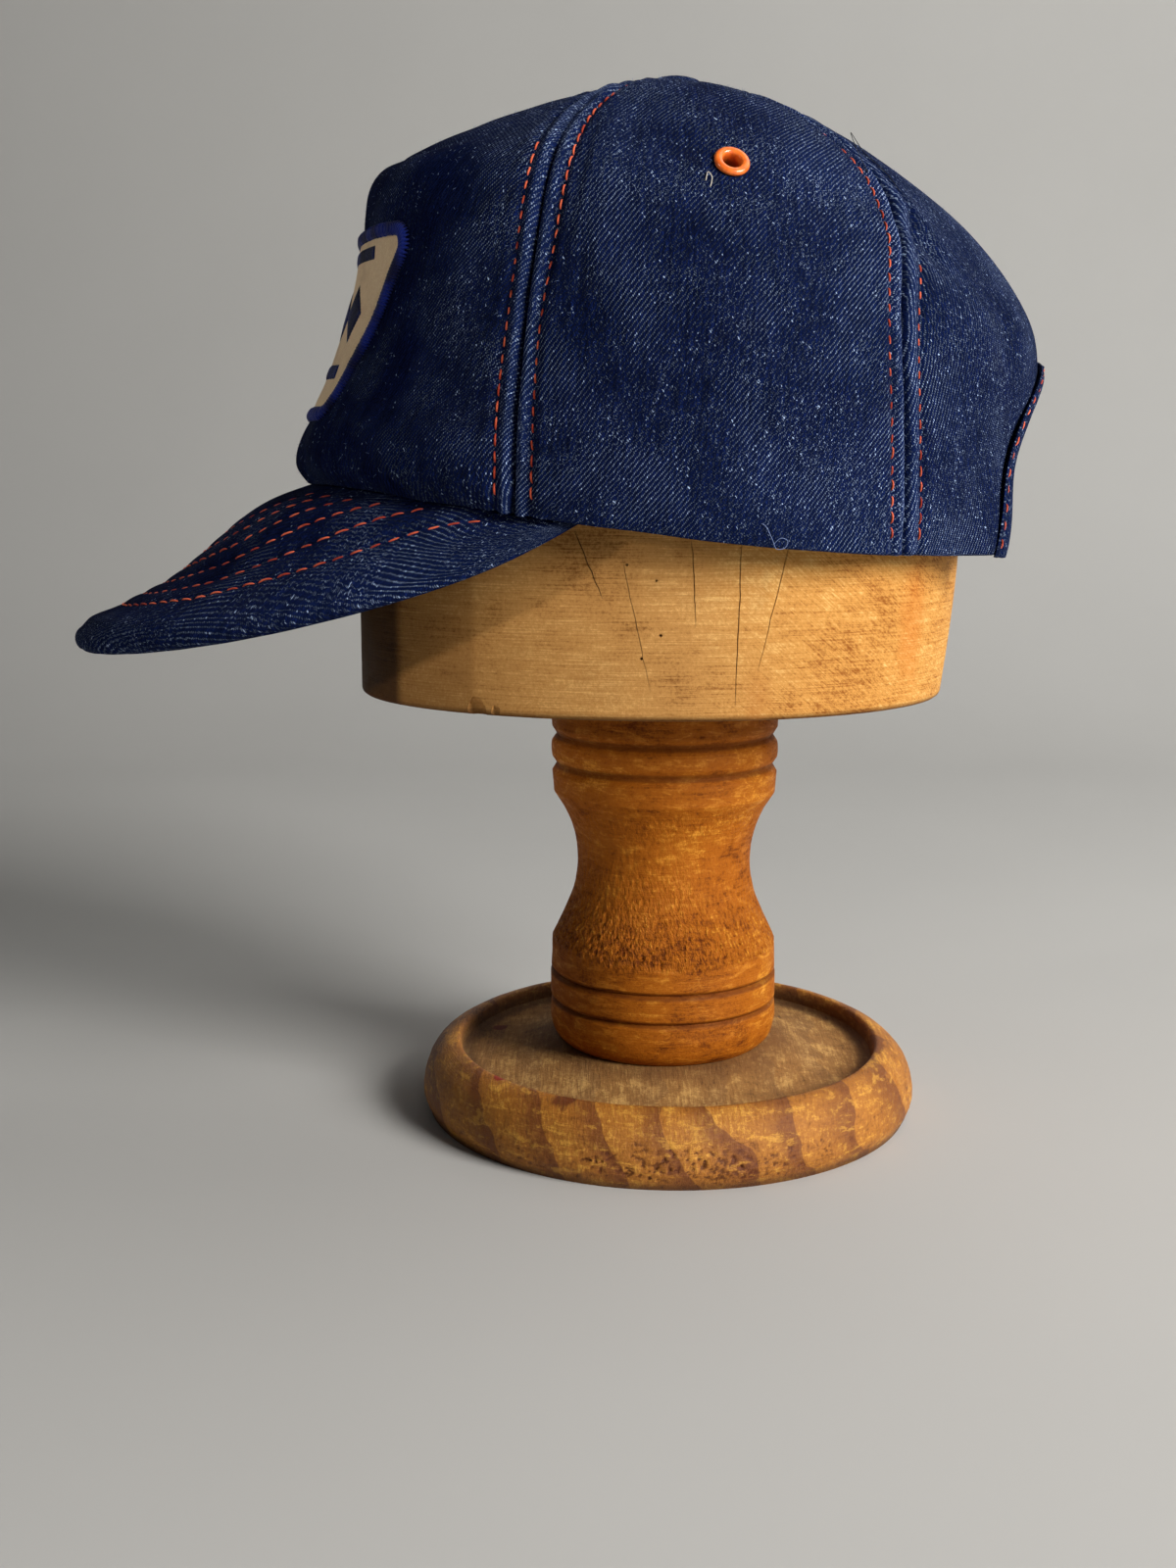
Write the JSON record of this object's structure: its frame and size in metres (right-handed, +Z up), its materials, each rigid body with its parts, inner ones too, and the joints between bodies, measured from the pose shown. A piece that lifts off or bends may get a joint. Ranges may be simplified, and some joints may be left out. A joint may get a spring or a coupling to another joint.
{
  "type": "trucker cap on wooden hat stand",
  "caption": "Denim five-panel trucker cap with an arched stitched bill, front patch, side eyelets and snap-closed back opening, on an oval wooden block with a turned post and dished foot.",
  "frame": {"origin": "middle of the underside of the stand's round foot", "axes": "+Z up, -Y towards the front of the bill, +X towards the wearer's left"},
  "size_m": [0.1732, 0.2806, 0.3017],
  "materials": {
    "denim": "dark indigo twill with pale flecks",
    "strap_plastic": "satin moulded plastic",
    "orange_paint": "glossy orange enamel, lightly chipped",
    "cream_cloth": "cream twill patch with embroidery",
    "blue_thread": "royal blue overlocked thread",
    "block_wood": "worn pale wood with cracks and stains",
    "post_wood": "orange-brown oiled turned wood",
    "base_wood": "stained brown turned wood"
  },
  "bodies": {
    "root": {"front_panel": "denim", "side_panel_left": "denim", "side_panel_right": "denim", "back_panel_left": "denim", "back_panel_right": "denim", "bill": "denim", "opening_band": "denim", "top_button": "denim", "snap_strap_left": "strap_plastic", "snap_strap_right": "strap_plastic", "eyelet_left": "orange_paint", "eyelet_right": "orange_paint", "patch_ground": "cream_cloth", "patch_border": "blue_thread", "hat_block": "block_wood", "stand_post": "post_wood", "stand_base": "base_wood"}
  },
  "joints": []
}
